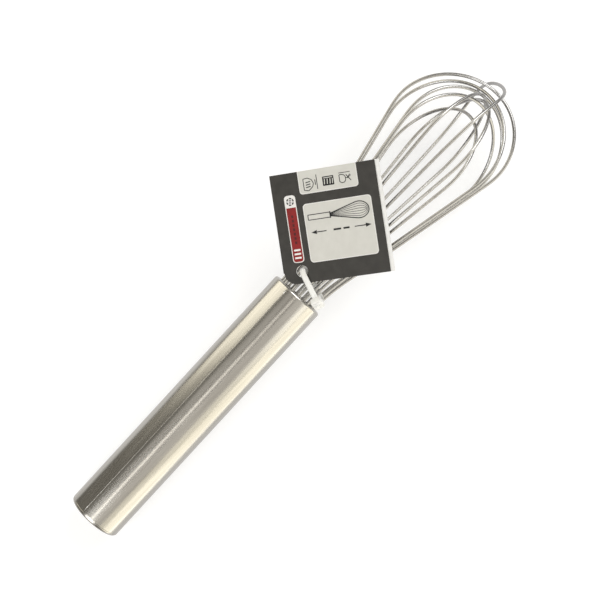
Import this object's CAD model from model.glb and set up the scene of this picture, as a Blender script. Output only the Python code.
"""Looks of a 25 cm balloon whisk: brushed steel handle, spring-wire loops, printed card on a nylon tie."""

import math

import bmesh
import bpy
from mathutils import Euler, Matrix, Vector


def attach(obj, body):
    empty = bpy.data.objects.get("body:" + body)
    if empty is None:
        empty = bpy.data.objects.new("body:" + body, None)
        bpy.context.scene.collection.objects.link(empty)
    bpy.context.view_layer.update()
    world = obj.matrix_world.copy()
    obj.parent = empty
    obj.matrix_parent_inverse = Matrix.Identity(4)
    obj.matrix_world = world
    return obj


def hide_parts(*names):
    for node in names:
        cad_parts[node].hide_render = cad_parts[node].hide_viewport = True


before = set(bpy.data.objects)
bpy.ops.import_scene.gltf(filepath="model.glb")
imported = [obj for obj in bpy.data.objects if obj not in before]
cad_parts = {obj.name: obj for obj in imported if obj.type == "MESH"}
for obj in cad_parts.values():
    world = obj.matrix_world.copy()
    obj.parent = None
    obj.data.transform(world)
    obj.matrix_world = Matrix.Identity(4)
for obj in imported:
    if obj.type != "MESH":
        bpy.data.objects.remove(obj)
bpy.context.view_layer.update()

MM = 0.001

# ---------------------------------------------------------------- whisk frame
# The whisk's own frame has +X along its axis from the butt. It is laid down by REST_TILT
# and shifted so that the middle of its footprint is the row's origin.
REST_TILT = math.radians(4)
HANDLE_R = 12.1
HANDLE_LEN = 128
WALL = 0.8
LIP_R = 1.1
BUTT_EDGE_R = 1.5
BUTT_DOME = 1.2
CAP_SKIRT = 9
BUTT_HEIGHT = (
    (HANDLE_R - BUTT_EDGE_R) * math.cos(REST_TILT) - BUTT_EDGE_R * math.sin(REST_TILT) + BUTT_EDGE_R
)
# middle of the footprint, along and across the axis
REST_MIDDLE = (124.08, 5.54)
LAID_DOWN = (
    Matrix.Translation((-REST_MIDDLE[0], -REST_MIDDLE[1], BUTT_HEIGHT))
    @ Matrix.Rotation(-REST_TILT, 4, "Y")
)


def to_row(point, place=LAID_DOWN):
    """A point in millimetres in the given frame, as metres in the row frame."""
    return place @ Vector(point) * MM


# ---------------------------------------------------------------- mesh helpers
def add_mesh(name, verts, faces, smooth=True):
    """Mesh object with consistent outward normals."""
    mesh = bpy.data.meshes.new(name)
    mesh.from_pydata([tuple(v) for v in verts], [], faces)
    bm = bmesh.new()
    bm.from_mesh(mesh)
    bmesh.ops.remove_doubles(bm, verts=bm.verts, dist=1e-7)
    bmesh.ops.recalc_face_normals(bm, faces=bm.faces)
    bm.to_mesh(mesh)
    bm.free()
    mesh.polygons.foreach_set("use_smooth", [smooth] * len(mesh.polygons))
    obj = bpy.data.objects.new(name, mesh)
    bpy.context.scene.collection.objects.link(obj)
    return obj


def finish_piece(obj, body, slot, material, *nodes):
    """Material, body, slot and the CAD nodes that the piece stands for."""
    obj.data.materials.append(material)
    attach(obj, body)
    if nodes:
        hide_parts(*nodes)
    return obj


def arc(centre, radius, start, end, steps):
    """Points of an arc, angles in degrees."""
    points = []
    for i in range(steps + 1):
        a = math.radians(start + (end - start) * i / steps)
        points.append((centre[0] + radius * math.cos(a), centre[1] + radius * math.sin(a)))
    return points


def lathe(name, profile, sides=192):
    """Closed profile of (distance from the butt, radius) turned about the whisk axis."""
    verts = []
    faces = []
    n = len(profile)
    for i in range(sides):
        a = 2 * math.pi * i / sides
        for x, r in profile:
            verts.append(to_row((x, r * math.cos(a), r * math.sin(a))))
        for j in range(n):
            k = (j + 1) % n
            m = (i + 1) % sides
            faces.append((i * n + j, i * n + k, m * n + k, m * n + j))
    return add_mesh(name, verts, faces)


def sweep(name, path, radius, sides=20):
    """Round wire along a list of points in the row frame, with closed ends."""
    verts = []
    faces = []
    count = len(path)
    tangent = (path[1] - path[0]).normalized()
    side = tangent.orthogonal().normalized()
    for i, p in enumerate(path):
        before = path[max(i - 1, 0)]
        after = path[min(i + 1, count - 1)]
        tangent = (after - before).normalized()
        side = (side - tangent * side.dot(tangent)).normalized()
        across = tangent.cross(side)
        for k in range(sides):
            a = 2 * math.pi * k / sides
            verts.append(p + (side * math.cos(a) + across * math.sin(a)) * radius)
    for i in range(count - 1):
        for k in range(sides):
            m = (k + 1) % sides
            faces.append((i * sides + k, i * sides + m, (i + 1) * sides + m, (i + 1) * sides + k))
    faces.append(tuple(range(sides)))
    faces.append(tuple((count - 1) * sides + k for k in range(sides)))
    return add_mesh(name, verts, faces)


# ---------------------------------------------------------------- materials
def new_material(name):
    """Node material with its Principled shader."""
    material = bpy.data.materials.new(name)
    material.use_nodes = True
    nodes = material.node_tree.nodes
    return material, nodes, material.node_tree.links, nodes["Principled BSDF"]


def add_noise(nodes, links, scale, detail, stretch=(1, 1, 1), turn=(0, 0, 0)):
    """Noise texture in object coordinates, stretched along chosen axes."""
    coords = nodes.new("ShaderNodeTexCoord")
    mapping = nodes.new("ShaderNodeMapping")
    mapping.inputs["Scale"].default_value = stretch
    mapping.inputs["Rotation"].default_value = turn
    texture = nodes.new("ShaderNodeTexNoise")
    texture.inputs["Scale"].default_value = scale
    texture.inputs["Detail"].default_value = detail
    links.new(coords.outputs["Object"], mapping.inputs["Vector"])
    links.new(mapping.outputs["Vector"], texture.inputs["Vector"])
    return texture


def ramp_between(nodes, links, source, low, high, start=0.3, end=0.7):
    """Colour or grey ramp driven by a texture."""
    ramp = nodes.new("ShaderNodeValToRGB")
    ramp.color_ramp.elements[0].position = start
    ramp.color_ramp.elements[0].color = low
    ramp.color_ramp.elements[1].position = end
    ramp.color_ramp.elements[1].color = high
    links.new(source, ramp.inputs["Fac"])
    return ramp


def grey(value):
    """Opaque grey."""
    return (value, value, value, 1)


def add_bump(nodes, links, shader, height, strength, distance):
    """Bump on a shader from a height socket."""
    bump = nodes.new("ShaderNodeBump")
    bump.inputs["Strength"].default_value = strength
    bump.inputs["Distance"].default_value = distance
    links.new(height, bump.inputs["Height"])
    links.new(bump.outputs["Normal"], shader.inputs["Normal"])


def brushed_steel():
    """Stainless tube brushed along its length: fine streaks, a warm tint and faint smudges."""
    material, nodes, links, shader = new_material("brushed_steel")
    lay = (0, REST_TILT, 0)
    streaks = add_noise(nodes, links, 900, 4, (0.012, 1, 1), lay)
    broad = add_noise(nodes, links, 420, 3, (0.015, 1, 1), lay)
    smudges = add_noise(nodes, links, 45, 3)
    tint = ramp_between(nodes, links, broad.outputs["Fac"], (0.59, 0.57, 0.525, 1), (0.71, 0.69, 0.645, 1))
    links.new(tint.outputs["Color"], shader.inputs["Base Color"])
    mix = nodes.new("ShaderNodeMath")
    mix.operation = "MULTIPLY_ADD"
    mix.inputs[1].default_value = 0.04
    mix.inputs[2].default_value = 0.17
    links.new(smudges.outputs["Fac"], mix.inputs[0])
    rough = nodes.new("ShaderNodeMath")
    rough.operation = "MULTIPLY_ADD"
    rough.inputs[1].default_value = 0.06
    links.new(streaks.outputs["Fac"], rough.inputs[0])
    links.new(mix.outputs["Value"], rough.inputs[2])
    links.new(rough.outputs["Value"], shader.inputs["Roughness"])
    shader.inputs["Metallic"].default_value = 1
    add_bump(nodes, links, shader, streaks.outputs["Fac"], 0.15, 0.00001)
    return material


def spring_wire():
    """Drawn and polished stainless wire, its tone changing slowly along the wire."""
    material, nodes, links, shader = new_material("spring_wire")
    tone = add_noise(nodes, links, 90, 2)
    tint = ramp_between(nodes, links, tone.outputs["Fac"], (0.48, 0.475, 0.465, 1), (0.58, 0.575, 0.565, 1))
    links.new(tint.outputs["Color"], shader.inputs["Base Color"])
    rough = nodes.new("ShaderNodeMath")
    rough.operation = "MULTIPLY_ADD"
    rough.inputs[1].default_value = 0.06
    rough.inputs[2].default_value = 0.22
    links.new(tone.outputs["Fac"], rough.inputs[0])
    links.new(rough.outputs["Value"], shader.inputs["Roughness"])
    shader.inputs["Metallic"].default_value = 1
    return material


def moulded(name, dark, light, roughness):
    """Moulded or cast plastic with a fine grain and slight mottling."""
    material, nodes, links, shader = new_material(name)
    mottle = add_noise(nodes, links, 120, 3)
    fine = add_noise(nodes, links, 800, 2)
    tint = ramp_between(nodes, links, mottle.outputs["Fac"], dark, light)
    links.new(tint.outputs["Color"], shader.inputs["Base Color"])
    shader.inputs["Roughness"].default_value = roughness
    add_bump(nodes, links, shader, fine.outputs["Fac"], 0.2, 0.00005)
    return material


def printed(name, dark, light, roughness):
    """Printed card: paper fibre under the ink and a thin varnish."""
    material, nodes, links, shader = new_material(name)
    fibre = add_noise(nodes, links, 2500, 4)
    wear = add_noise(nodes, links, 260, 4)
    tint = ramp_between(nodes, links, wear.outputs["Fac"], dark, light, 0.35, 0.75)
    links.new(tint.outputs["Color"], shader.inputs["Base Color"])
    shader.inputs["Roughness"].default_value = roughness
    shader.inputs["Specular IOR Level"].default_value = 0.35
    add_bump(nodes, links, shader, fibre.outputs["Fac"], 0.12, 0.00003)
    return material


STEEL = brushed_steel()
WIRE = spring_wire()
RESIN = moulded("seal_resin", (0.16, 0.16, 0.155, 1), (0.24, 0.24, 0.23, 1), 0.45)
ANCHOR = moulded("anchor_plastic", grey(0.35), grey(0.42), 0.5)
NYLON = moulded("tie_nylon", (0.80, 0.80, 0.77, 1), (0.90, 0.90, 0.88, 1), 0.35)
CARD_BLACK = printed("card_black", (0.030, 0.028, 0.024, 1), (0.042, 0.039, 0.034, 1), 0.5)
CARD_WHITE = printed("card_board", (0.78, 0.78, 0.77, 1), (0.86, 0.86, 0.85, 1), 0.6)
INK_LIGHT = printed("ink_light_grey", (0.60, 0.595, 0.555, 1), (0.64, 0.635, 0.595, 1), 0.5)
INK_WHITE = printed("ink_white", (0.76, 0.75, 0.73, 1), (0.82, 0.81, 0.79, 1), 0.5)
INK_RED = printed("ink_red", (0.21, 0.006, 0.006, 1), (0.27, 0.010, 0.009, 1), 0.5)
INK_DARK = printed("ink_dark", grey(0.012), grey(0.022), 0.55)
INK_MAROON = printed("ink_maroon", (0.07, 0.004, 0.004, 1), (0.10, 0.006, 0.006, 1), 0.5)


# ---------------------------------------------------------------- handle
def build_handle():
    """Tube with its rolled front lip, and the pressed cap that closes the butt."""
    bore = HANDLE_R - WALL
    lip_x = HANDLE_LEN - LIP_R
    lip_y = HANDLE_R - LIP_R
    outside = arc((lip_x, lip_y), LIP_R, 90, -90, 24)
    inside = arc((lip_x, lip_y), LIP_R - WALL, -90, 90, 16)
    seam = 0.06
    tube = [(BUTT_EDGE_R + seam, bore), (BUTT_EDGE_R + seam, HANDLE_R - seam)]
    tube += [(BUTT_EDGE_R + 2 * seam, HANDLE_R), (BUTT_EDGE_R + 5 * seam, HANDLE_R)]
    stations = 16
    for i in range(1, stations):
        tube.append((BUTT_EDGE_R + (lip_x - BUTT_EDGE_R) * i / stations, HANDLE_R))
    tube += [(lip_x - 5 * seam, HANDLE_R)] + outside + inside
    finish_piece(lathe("handle_tube_skin", tube), "whisk", "handle_steel", STEEL, "handle_tube")

    # ground-down weld along the tube, less than a tenth of a millimetre proud of the steel
    weld_turn = math.radians(17)
    weld_r = 0.3
    weld_depth = HANDLE_R - 0.22
    weld_y = weld_depth * math.sin(weld_turn)
    weld_z = weld_depth * math.cos(weld_turn)
    ends = (BUTT_EDGE_R + 0.5, HANDLE_LEN - LIP_R - 0.5)
    line = [to_row((ends[0] + (ends[1] - ends[0]) * i / 40, weld_y, weld_z)) for i in range(41)]
    finish_piece(sweep("handle_weld_line", line, weld_r * MM), "whisk", "handle_steel", STEEL)

    edge = HANDLE_R - BUTT_EDGE_R
    dome_r = (edge * edge + BUTT_DOME * BUTT_DOME) / (2 * BUTT_DOME)
    half = math.degrees(math.asin(edge / dome_r))
    cap = arc((dome_r - BUTT_DOME, 0), dome_r, 180, 180 - half, 14)
    cap += arc((BUTT_EDGE_R, edge), BUTT_EDGE_R, 180, 90, 14)
    cap += [(BUTT_EDGE_R, bore), (BUTT_EDGE_R + CAP_SKIRT, bore), (BUTT_EDGE_R + CAP_SKIRT, bore - WALL)]
    cap += [(2 * WALL, bore - WALL), (2 * WALL, 0)]
    cap = [(x, max(r, 0)) for x, r in cap]
    finish_piece(lathe("handle_cap_skin", cap), "whisk", "handle_steel", STEEL, "handle_end_cap")


# ---------------------------------------------------------------- wires
WIRE_R = 0.7
RING_R = 9
FLARE_R = 75
SHOULDER_R = 23
SHOULDER_BEND = 30
WIRE_GRIP = 22
# turn about the handle, crown height, leg splay, lean in its plane, tip out of it,
# twist of the crown and sideways slant of the crown, per loop
LOOPS = [
    (-60, 111.4, 13.8, -2.2, -0.3, 0, 0),
    (-47, 103.4, 13.9, -0.2, 0.1, 0, 0),
    (-24, 115, 14.1, -0.2, 0.2, 0, 0),
    (-1, 118.2, 12.4, -0.7, -0.3, 0, -1.7),
    (34, 114.3, 11.3, -3.5, -0.8, 0, 0),
    (47, 110.1, 14.1, -2.4, 1.4, 0, 0),
    (79, 113.1, 13.4, 0, 1.2, 0, 1),
    (101, 121.3, 12, 0.1, 1.1, 22, 0),
]
# largest half-width of a loop
BELLY = 27
# how sharply the twist gathers at the crown
TWIST_POWER = 13
# distance between the points of a wire's path, and how often they are averaged
WIRE_STEP = 1.2
WIRE_ROUNDS = 8


def half_loop(height, splay):
    """Centre line of one half of a loop in its own plane, from the wire end to the crown."""
    s = math.radians(splay)
    turned = s - math.radians(SHOULDER_BEND)
    k = (1 + math.sin(turned)) / math.cos(turned)
    x0 = FLARE_R * math.sin(s) + SHOULDER_R * (math.sin(s) - math.sin(turned))
    y0 = RING_R + FLARE_R * (1 - math.cos(s)) + SHOULDER_R * (math.cos(turned) - math.cos(s))
    leg = (height - x0 - y0 * k) / (math.cos(s) + math.sin(s) * k)
    points = [(-WIRE_GRIP, RING_R), (-WIRE_GRIP / 2, RING_R)]
    points += arc((0, RING_R + FLARE_R), FLARE_R, -90, splay - 90, 10)
    foot = Vector(points[-1])
    along = Vector((math.cos(s), math.sin(s)))
    points += [tuple(foot + along * leg * i / 12) for i in range(1, 13)]
    knee = Vector(points[-1])
    centre = knee + Vector((math.sin(s), -math.cos(s))) * SHOULDER_R
    points += arc(centre, SHOULDER_R, 90 + splay, 90 + splay - SHOULDER_BEND, 12)[1:]
    crown_r = points[-1][1] / math.cos(turned)
    points += arc((height - crown_r, 0), crown_r, 90 + math.degrees(turned), 0, 36)[1:]
    return points


def smooth_path(points, rounds):
    """Averages neighbours so that the curvature flows from bend to bend, as spring wire does."""
    path = [Vector(p) for p in points]
    for _ in range(rounds):
        path = [path[0]] + [(a + 2 * b + c) / 4 for a, b, c in zip(path, path[1:], path[2:])] + [path[-1]]
    return path


def resample(points, step):
    """The same polyline with evenly spaced points."""
    result = [points[0]]
    left = step
    for a, b in zip(points, points[1:]):
        length = (b - a).length
        at = left
        while at <= length:
            result.append(a.lerp(b, at / length))
            at += step
        left = at - length
    result.append(points[-1])
    return result


def hand_bent(x, y, height, twist, slant):
    """Point of a loop whose crown is turned about the whisk axis and slants to one side."""
    rise = max(x, 0) / height
    a = math.radians(twist) * rise**TWIST_POWER
    return Vector((x + slant * y / BELLY * rise**2, y * math.cos(a), y * math.sin(a)))


def build_wires():
    """Eight loops, each one tube of wire with its two ends in the handle."""
    for i, (turn, height, splay, lean, tip, twist, slant) in enumerate(LOOPS):
        half = half_loop(height, splay)
        flat = half + [(x, -y) for x, y in reversed(half[:-1])]
        place = (
            LAID_DOWN
            @ Matrix.Translation((HANDLE_LEN, 0, 0))
            @ Matrix.Rotation(math.radians(turn), 4, "X")
            @ Matrix.Rotation(math.radians(-tip), 4, "Y")
            @ Matrix.Rotation(math.radians(lean), 4, "Z")
        )
        bent = [hand_bent(x, y, height, twist, slant) for x, y in flat]
        even = resample(bent, WIRE_STEP)
        path = [to_row(p, place) for p in smooth_path(even, WIRE_ROUNDS)]
        loop = sweep(f"wire_{i + 1}_round", path, WIRE_R * MM)
        finish_piece(loop, "whisk", "wire_steel", WIRE, f"wire_loop_{i + 1}")


# ---------------------------------------------------------------- hang tag
TAG_AT = (136.8, 3.7, 12.35)
TAG_PITCH = math.radians(12)
TAG_ROLL = math.radians(-1.8)
TAG_YAW = math.radians(-40)
ON_CARD = (
    LAID_DOWN
    @ Matrix.Translation(TAG_AT)
    @ Matrix.Rotation(TAG_ROLL, 4, "X")
    @ Matrix.Rotation(-TAG_PITCH, 4, "Y")
    @ Matrix.Rotation(TAG_YAW, 4, "Z")
)
CARD_W = 44.6
CARD_H = 45.6
HOLE_X = 7.7
HOLE_Y = 5
HOLE_R = 2.5
LEAF_T = 0.3
LEAF_GAP = 0.2
LEAF_EXTRA = 1.6
CORNER_R = 5
CARD_TOP = LEAF_GAP / 2 + LEAF_T
INK_T = 0.02
BOW = 0.7


def card_point(a, b, height):
    """Point on the slightly bowed card.

    a is measured from its left edge, b from its lower edge and height from its middle.
    """
    reach = (a + b) / CARD_W - 0.35
    bend = BOW * max(reach, 0) ** 2 * 0.5 - 0.25 * math.sin(math.pi * min(max(a / CARD_W, 0), 1))
    return to_row((a - HOLE_X, b - HOLE_Y, height + bend + 0.12), ON_CARD)


def rounded(a0, b0, a1, b1, radii, steps=8):
    """Outline of a rectangle with one radius per corner, from the lower left, anticlockwise."""
    corners = [(a0, b0, 1, 1, 180), (a1, b0, -1, 1, 270), (a1, b1, -1, -1, 0), (a0, b1, 1, -1, 90)]
    points = []
    for (x, y, sx, sy, start), r in zip(corners, radii):
        points += arc((x + sx * r, y + sy * r), r, start, start + 90, steps) if r else [(x, y)]
    return points


def ribbon(points, width):
    """Outline of a line of the given width along a few points."""
    path = [Vector(p) for p in points]
    left = []
    right = []
    for i, p in enumerate(path):
        along = (path[min(i + 1, len(path) - 1)] - path[max(i - 1, 0)]).normalized()
        across = Vector((-along.y, along.x)) * width / 2
        left.append(tuple(p + across))
        right.append(tuple(p - across))
    return left + right[::-1]


def plate(name, outlines, low, high, holes=(), grain=2.5):
    """Thin plates between two heights over the card, cut fine enough to follow its bow."""
    bm = bmesh.new()
    for outline in outlines:
        edges = []
        for loop in [outline, *holes]:
            ring = [bm.verts.new((a, b, high)) for a, b in loop]
            edges += [bm.edges.new(pair) for pair in zip(ring, ring[1:] + ring[:1])]
        bmesh.ops.triangle_fill(bm, use_beauty=True, use_dissolve=False, edges=edges)
    for _ in range(5):
        long_edges = [e for e in bm.edges if e.calc_length() > grain]
        if not long_edges:
            break
        bmesh.ops.subdivide_edges(bm, edges=long_edges, cuts=1)
        bmesh.ops.triangulate(bm, faces=[f for f in bm.faces if len(f.verts) > 3])
    made = bmesh.ops.extrude_face_region(bm, geom=bm.faces[:], use_keep_orig=True)
    moved = [v for v in made["geom"] if isinstance(v, bmesh.types.BMVert)]
    bmesh.ops.translate(bm, verts=moved, vec=(0, 0, low - high))
    bmesh.ops.recalc_face_normals(bm, faces=bm.faces)
    for v in bm.verts:
        v.co = card_point(*v.co)
    mesh = bpy.data.meshes.new(name)
    bm.to_mesh(mesh)
    bm.free()
    obj = bpy.data.objects.new(name, mesh)
    bpy.context.scene.collection.objects.link(obj)
    return obj


def ink(name, outlines, layer, material, grain=2.5):
    """Printed shapes; each layer of ink lies just above the one below."""
    low = CARD_TOP + INK_T * layer
    piece = plate(name, outlines, low, low + INK_T * 0.9, grain=grain)
    return finish_piece(piece, "tag", "tag_card", material)


def build_card():
    """Folded card: two white-cored leaves joined by a fold, black outside."""
    hole = arc((HOLE_X, HOLE_Y), HOLE_R, 0, 352.5, 47)
    front = rounded(0, 0, CARD_W, CARD_H, (CORNER_R, 0, 0, 0))
    rear = rounded(0, 0, CARD_W + LEAF_EXTRA, CARD_H, (CORNER_R, 0, 0, 0))
    leaf = plate("tag_front_leaf", [front], LEAF_GAP / 2, CARD_TOP, [hole])
    finish_piece(leaf, "tag", "tag_card", CARD_WHITE, "hang_tag")
    face = plate("tag_front_print", [front], CARD_TOP, CARD_TOP + INK_T, [hole])
    finish_piece(face, "tag", "tag_card", CARD_BLACK)
    back = plate("tag_rear_leaf", [rear], -CARD_TOP, -LEAF_GAP / 2, [hole])
    finish_piece(back, "tag", "tag_card", CARD_WHITE)
    back_print = plate("tag_rear_print", [rear], -CARD_TOP - INK_T, -CARD_TOP, [hole])
    finish_piece(back_print, "tag", "tag_card", CARD_BLACK)
    # half-round fold along the left edge
    verts = []
    faces = []
    rows = 24
    section = arc((0, 0), CARD_TOP + INK_T, 90, 270, 8) + arc((0, 0), LEAF_GAP / 2, 270, 90, 8)
    for i in range(rows + 1):
        b = CORNER_R + (CARD_H - CORNER_R) * i / rows
        verts += [card_point(x, b, z) for x, z in section]
    n = len(section)
    for i in range(rows):
        for j in range(n):
            k = (j + 1) % n
            faces.append((i * n + j, i * n + k, (i + 1) * n + k, (i + 1) * n + j))
    faces.append(tuple(range(n)))
    faces.append(tuple(rows * n + j for j in range(n)))
    finish_piece(add_mesh("tag_fold", verts, faces), "tag", "tag_card", CARD_BLACK)


def build_panels():
    """Two light panels with thin white borders."""
    top = rounded(11.6, 36.1, 36.6, CARD_H, (1.3, 1.3, 0, 0))
    top_inner = rounded(11.9, 36.4, 36.3, CARD_H, (1.1, 1.1, 0, 0))
    main = rounded(11.9, 7.9, 40.9, 32.1, (1.5, 1.5, 1.5, 1.5))
    main_inner = rounded(12.2, 8.2, 40.6, 31.8, (1.3, 1.3, 1.3, 1.3))
    ink("print_panel_borders", [top, main], 1, INK_WHITE)
    ink("print_panels", [top_inner, main_inner], 2, INK_LIGHT)


def whisk_picture():
    """Outlines of a small drawing of a whisk, pointing right."""
    a0, b0, a1, b1 = 13.5, 25.3, 22.9, 27.4
    middle = (b0 + b1) / 2
    shapes = [ribbon([(a0, b0), (a1, b0)], 0.34), ribbon([(a0, b1), (a1, b1)], 0.34)]
    shapes += [ribbon([(a0, b0), (a0, b1)], 0.34), ribbon([(a1, b0 - 0.3), (a1, b1 + 0.3)], 0.5)]
    crown = Vector((35.2, middle + 0.3))
    for share, reach in ((1, 4.2), (0.74, 3.7), (0.46, 3.3), (0.16, 3.0)):
        for side in (1, -1):
            line = [(a1, middle + 0.5 * share * side)]
            for i in range(15):
                t = math.radians(-18 + 108 * i / 14)
                line.append((crown.x + reach * math.sin(t), crown.y + 3.4 * share * side * math.cos(t)))
            shapes.append(ribbon(line, 0.42 if share == 1 else 0.2))
    return shapes


def arrow(tip, tail, b):
    """Shaft and head of an arrow along the card's width."""
    way = 1 if tip > tail else -1
    head = [(tip, b), (tip - way * 2.4, b + 0.85), (tip - way * 2.4, b - 0.85)]
    return [ribbon([(tail, b), (tip - way * 2.2, b)], 0.4), head]


def build_drawings():
    """Whisk drawing, two arrows, plain bars where a size would stand, and small care symbols."""
    size_row = 20.1
    marks = whisk_picture()
    marks += arrow(13.9, 20.4, size_row)
    marks += arrow(39.5, 32.4, size_row)
    marks += [ribbon([(23.4, size_row), (26.6, size_row)], 0.75)]
    marks += [ribbon([(27.6, size_row), (30.2, size_row)], 0.75)]
    ink("print_drawing", marks, 3, INK_DARK)
    # tumbler symbol, divider, plate rack symbol, glass and fork
    cup = [(13.7, 42.2), (13.7, 37.6), (15.6, 37.2), (17.4, 38.6), (17.9, 40), (17.2, 41.6), (15.6, 42.4)]
    symbols = [ribbon(pair, 0.32) for pair in zip(cup, cup[1:] + cup[:1])]
    for b in (38.6, 39.6, 40.6):
        symbols.append(ribbon([(14.6, b), (16.6, b + 0.3)], 0.4))
    symbols.append(ribbon([(19.4, 37.4), (19.4, 43.3)], 0.32))
    symbols.append(ribbon([(18.7, 39.2), (18.7, 41.4)], 0.36))
    symbols.append(rounded(21.8, 38.2, 26.6, 42, (0.3, 0.3, 0.3, 0.3)))
    symbols.append(ribbon([(28.9, 42.4), (33.7, 42.4)], 0.26))
    bowl = [
        (29, 41.6), (29, 38.9), (29.9, 38.3), (31, 38.5),
        (31.6, 39.4), (31.6, 40.5), (31, 41.4), (29.9, 41.7),
    ]
    symbols += [ribbon(pair, 0.32) for pair in zip(bowl, bowl[1:] + bowl[:1])]
    symbols.append(ribbon([(31.4, 40), (32.3, 40.1), (33.6, 41.4)], 0.32))
    symbols.append(ribbon([(31.9, 41.4), (33.8, 38.8)], 0.34))
    symbols.append(ribbon([(32.4, 39.9), (33.9, 41)], 0.26))
    ink("print_symbols", symbols, 3, INK_DARK)
    rack = []
    for a in (22.5, 23.7, 24.9, 25.9):
        rack.append(ribbon([(a, 38.8), (a + 0.2, 40.9)], 0.35))
    rack.append(ribbon([(22.3, 41.4), (26.1, 41.4)], 0.3))
    ink("print_symbol_rack", rack, 4, INK_LIGHT)


def build_label():
    """Tall rounded label: white head with a plain symbol, red body with plain bars."""
    a0, a1 = 4.5, 9.3
    b0, b1 = 8.7, 36.5
    cell = 31.4
    rim = 0.35
    ink("print_label_rim", [rounded(a0, b0, a1, b1, (1.4,) * 4)], 1, INK_WHITE)
    red = rounded(a0 + rim, b0 + rim, a1 - rim, cell, (1.1, 1.1, 0, 0))
    ink("print_label_red", [red], 2, INK_RED)
    middle = (a0 + a1) / 2
    leaves = [ribbon(arc((middle, 33.9), 1.35, 60 * i, 60 * i + 44, 5), 0.55) for i in range(6)]
    leaves += [ribbon(arc((middle, 33.9), 0.5, 180 * i + 20, 180 * i + 150, 5), 0.4) for i in range(2)]
    ink("print_label_symbol", leaves, 2, INK_DARK)
    dash_feet = (16.4, 18.2, 20.0, 21.8, 23.6, 25.4, 27.2)
    dashes = [ribbon([(middle, b), (middle, b + 1.1)], 0.9) for b in dash_feet]
    ink("print_label_dashes", dashes, 3, INK_MAROON)
    bars = [rounded(middle - 1.4, b, middle + 1.4, b + 0.75, (0.15,) * 4) for b in (10.3, 11.9, 13.5)]
    ink("print_label_bars", bars, 3, INK_WHITE)


def build_tag():
    """Card and its print."""
    build_card()
    build_panels()
    build_drawings()
    build_label()


# ---------------------------------------------------------------- cable tie
STRAP_W = 2.4
STRAP_T = 0.8
STRAP_R = 3.6
STRAP_SPAN = 8.2
STRAP_YAW = math.radians(-71.2)
STRAP_GAP = 0.35
HEAD_LONG = 4.6
HEAD_WIDE = 4.4
HEAD_TALL = 3.2
HEAD_TURN = math.radians(50)
STRAP_DROP = STRAP_R - CARD_TOP - STRAP_GAP
STRAP_REACH = math.sqrt((STRAP_R + STRAP_T / 2) ** 2 - STRAP_DROP**2)
ON_TIE = (
    ON_CARD
    @ Matrix.Rotation(STRAP_YAW, 4, "Z")
    @ Matrix.Translation((STRAP_REACH, 0, -STRAP_DROP))
)


def strap_station(s):
    """Centre and outward normal of the closed strap at share s of its length, in the tie's XZ plane."""
    r = STRAP_R + STRAP_T / 2
    bend = math.pi * r
    total = 2 * (STRAP_SPAN + bend)
    at = (s % 1) * total
    if at < STRAP_SPAN:
        return Vector((at, 0, r)), Vector((0, 0, 1))
    at -= STRAP_SPAN
    if at < bend:
        a = math.pi / 2 - at / r
        out = Vector((math.cos(a), 0, math.sin(a)))
        return Vector((STRAP_SPAN, 0, 0)) + out * r, out
    at -= bend
    if at < STRAP_SPAN:
        return Vector((STRAP_SPAN - at, 0, -r)), Vector((0, 0, -1))
    at -= STRAP_SPAN
    a = -math.pi / 2 - at / r
    out = Vector((math.cos(a), 0, math.sin(a)))
    return out * r, out


def build_strap():
    """Closed strap with rounded edges and fine ratchet teeth on its inner face."""
    stations = 216
    half_w = STRAP_W / 2
    half_t = STRAP_T / 2
    edge = 0.25
    verts = []
    faces = []
    for i in range(stations):
        centre, out = strap_station(i / stations)
        tooth = 0.12 if i % 3 == 0 else 0
        section = [
            (-half_w, -half_t + edge),
            (-half_w, half_t - edge),
            (-half_w + edge, half_t),
            (half_w - edge, half_t),
            (half_w, half_t - edge),
            (half_w, -half_t + edge),
            (half_w - edge, -half_t),
            (half_w - 2 * edge, -half_t + tooth),
            (-half_w + 2 * edge, -half_t + tooth),
            (-half_w + edge, -half_t),
        ]
        verts += [to_row(centre + Vector((0, y, 0)) + out * t, ON_TIE) for y, t in section]
    n = 10
    for i in range(stations):
        j = (i + 1) % stations
        for k in range(n):
            m = (k + 1) % n
            faces.append((i * n + k, i * n + m, j * n + m, j * n + k))
    strap = add_mesh("tie_strap", verts, faces)
    return finish_piece(strap, "tie", "tie_nylon", NYLON, "cable_tie")


def beveled_block(name, size, centre, place, bevel):
    """Block with rounded edges, in millimetres in the given frame."""
    bm = bmesh.new()
    bmesh.ops.create_cube(bm, size=1)
    for v in bm.verts:
        v.co = Vector((v.co.x * size[0], v.co.y * size[1], v.co.z * size[2]))
    edges = bm.edges[:] + bm.verts[:]
    bmesh.ops.bevel(bm, geom=edges, offset=bevel, segments=4, profile=0.5, affect="EDGES")
    for v in bm.verts:
        v.co = to_row(v.co + Vector(centre), place)
    mesh = bpy.data.meshes.new(name)
    bm.to_mesh(mesh)
    bm.free()
    mesh.polygons.foreach_set("use_smooth", [True] * len(mesh.polygons))
    obj = bpy.data.objects.new(name, mesh)
    bpy.context.scene.collection.objects.link(obj)
    return obj


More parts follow.
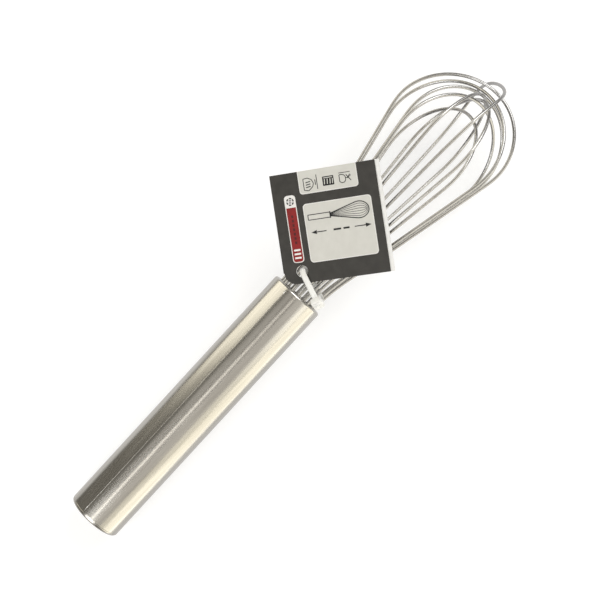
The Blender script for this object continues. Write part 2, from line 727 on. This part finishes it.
def build_tie():
    """Nylon tie: strap, locking head with its raised lip, and the cut-off tail."""
    build_strap()
    head_place = ON_TIE @ Matrix.Translation((STRAP_SPAN, 0, 0)) @ Matrix.Rotation(-HEAD_TURN, 4, "Y")
    x = STRAP_R + STRAP_T / 2
    parts = [
        ("tie_head", (HEAD_TALL, HEAD_WIDE, HEAD_LONG), (x + HEAD_TALL / 2, 0, 0), 0.5),
        ("tie_head_lip", (0.6, HEAD_WIDE - 1.4, HEAD_LONG - 1.6), (x + HEAD_TALL + 0.1, 0, 0), 0.15),
        ("tie_tail", (1.6, STRAP_W - 0.2, STRAP_T), (x + HEAD_TALL + 0.7, 0, 0.1), 0.15),
    ]
    for name, size, centre, bevel in parts:
        finish_piece(beveled_block(name, size, centre, head_place, bevel), "tie", "tie_nylon", NYLON)


def dress_inner_parts():
    """Resin and anchor keep their CAD shapes."""
    for name, material in (("wire_seal", RESIN), ("wire_anchor", ANCHOR)):
        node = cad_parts[name]
        node.data.materials.clear()
        node.data.materials.append(material)


# ---------------------------------------------------------------- stage, lights and camera
def build_stage():
    """White floor that glows a little, as paper lit from below does, so that shadows stay faint."""
    half = 3.0
    corners = [(-half, -half, 0), (half, -half, 0), (half, half, 0), (-half, half, 0)]
    floor = add_mesh("floor", corners, [(0, 1, 2, 3)])
    material, _, _, shader = new_material("floor_paper")
    shader.inputs["Base Color"].default_value = (0.45, 0.45, 0.45, 1)
    shader.inputs["Roughness"].default_value = 0.9
    shader.inputs["Specular IOR Level"].default_value = 0.1
    shader.inputs["Emission Color"].default_value = (1, 1, 1, 1)
    shader.inputs["Emission Strength"].default_value = 0.62
    floor.data.materials.append(material)
    floor.visible_glossy = False


HANDLE_MIDDLE = to_row((HANDLE_LEN / 2, 0, 0))
CAMERA_AT = Vector((-0.0165, -0.06982, 0.59208))
CAMERA_TURN = Euler((math.radians(5.62), math.radians(3.24), math.radians(-46.93)), "XYZ")
LENS = 82.1
# turn of the camera's side of the handle about the handle's axis, in degrees
CAMERA_SIDE = 6.2


def add_softbox(name, angle, distance, along, size, power, tint=(1, 1, 1)):
    """Area light parallel to the handle, turned about it from the camera's side by the angle."""
    lamp = bpy.data.lights.new(name, "AREA")
    lamp.shape = "RECTANGLE"
    lamp.size = size[0]
    lamp.size_y = size[1]
    lamp.energy = power
    lamp.color = tint
    obj = bpy.data.objects.new(name, lamp)
    bpy.context.scene.collection.objects.link(obj)
    a = math.radians(angle + CAMERA_SIDE)
    out = Vector((0, -math.sin(a), math.cos(a)))
    obj.location = HANDLE_MIDDLE + out * distance + Vector((along, 0, 0))
    inward = -out
    axis = Vector((1, 0, 0))
    obj.rotation_mode = "QUATERNION"
    turn = Matrix((axis, axis.cross(inward), out)).transposed()
    obj.rotation_quaternion = turn.to_quaternion()
    return obj


def softbox_power(size, radiance):
    """Watts that give an area light of this size the wanted radiance."""
    return math.pi * size[0] * size[1] * radiance


def build_world():
    """Surroundings that the steel mirrors: dim room above the whisk, pale table below the horizon."""
    bpy.context.scene.view_settings.view_transform = "Standard"
    world = bpy.data.worlds.new("studio")
    bpy.context.scene.world = world
    world.use_nodes = True
    nodes = world.node_tree.nodes
    links = world.node_tree.links
    coords = nodes.new("ShaderNodeTexCoord")
    split = nodes.new("ShaderNodeSeparateXYZ")
    links.new(coords.outputs["Generated"], split.inputs["Vector"])
    down = nodes.new("ShaderNodeMath")
    down.operation = "MULTIPLY"
    down.inputs[1].default_value = -1
    links.new(split.outputs["Z"], down.inputs[0])
    dim = (0.15, 0.141, 0.125, 1)
    bright = (0.72, 0.71, 0.70, 1)
    room = ramp_between(nodes, links, down.outputs["Value"], dim, bright, 0.22, 0.42)
    links.new(room.outputs["Color"], nodes["Background"].inputs["Color"])


def build_side_boxes():
    """Boxes beside and above the handle, which the steel mirrors as its bright and dark bands."""
    warm = (1, 0.95, 0.81)
    pale = (1, 0.96, 0.9)
    boxes = [
        # name, angle about the handle, distance, place along it, size, radiance, tint
        ("box_right", 88, 0.9, 0.0, (1.6, 0.7), 1.4, warm),
        ("box_right_inner", 56, 0.95, 0.0, (1.6, 0.33), 0.8, warm),
        ("box_right_front", 52, 0.85, 0.26, (0.62, 0.36), 0.7, (1, 1, 0.98)),
        ("box_fill", 27, 1.0, 0.0, (1.6, 0.62), 0.45, pale),
        ("strip_middle", 0, 1.1, 0.0, (1.6, 0.16), 0.85, pale),
        ("strip_butt", 0, 1.0, -0.34, (0.45, 0.1), 0.7, pale),
        ("box_dim", -22, 1.0, 0.2, (1.0, 0.42), 0.3, pale),
        ("box_left", -76, 0.9, 0.29, (0.8, 1.0), 1.35, warm),
    ]
    for name, angle, distance, along, size, radiance, tint in boxes:
        add_softbox(name, angle, distance, along, size, softbox_power(size, radiance), tint)


def build_end_boxes():
    """Boxes beyond both ends of the whisk, high for the card and low for the crowns of the wires."""
    end_boxes = [
        # name, end, lean from overhead, distance, side, radiance
        ("box_front", 1, 45, 1.4, 0.9, 3.4),
        ("box_back", -1, 45, 1.4, 0.9, 3.4),
        ("box_front_low", 1, 78, 1.2, 0.5, 1.2),
        ("box_back_low", -1, 78, 1.2, 0.5, 1.2),
    ]
    for name, way, lean, distance, side, radiance in end_boxes:
        lamp = bpy.data.lights.new(name, "AREA")
        lamp.shape = "SQUARE"
        lamp.size = side
        lamp.energy = softbox_power((side, side), radiance)
        obj = bpy.data.objects.new(name, lamp)
        bpy.context.scene.collection.objects.link(obj)
        a = math.radians(lean)
        obj.location = (way * distance * math.sin(a), 0, distance * math.cos(a))
        obj.rotation_euler = (0, way * a, 0)


def build_camera():
    """Camera over the whisk, its picture turned so that the handle points down and left."""
    data = bpy.data.cameras.new("camera")
    data.lens = LENS
    data.sensor_width = 36
    camera = bpy.data.objects.new("camera", data)
    bpy.context.scene.collection.objects.link(camera)
    camera.location = CAMERA_AT
    camera.rotation_euler = CAMERA_TURN
    bpy.context.scene.camera = camera


build_camera()
build_handle()
build_wires()
build_tag()
build_tie()
dress_inner_parts()
build_stage()
build_world()
build_side_boxes()
build_end_boxes()
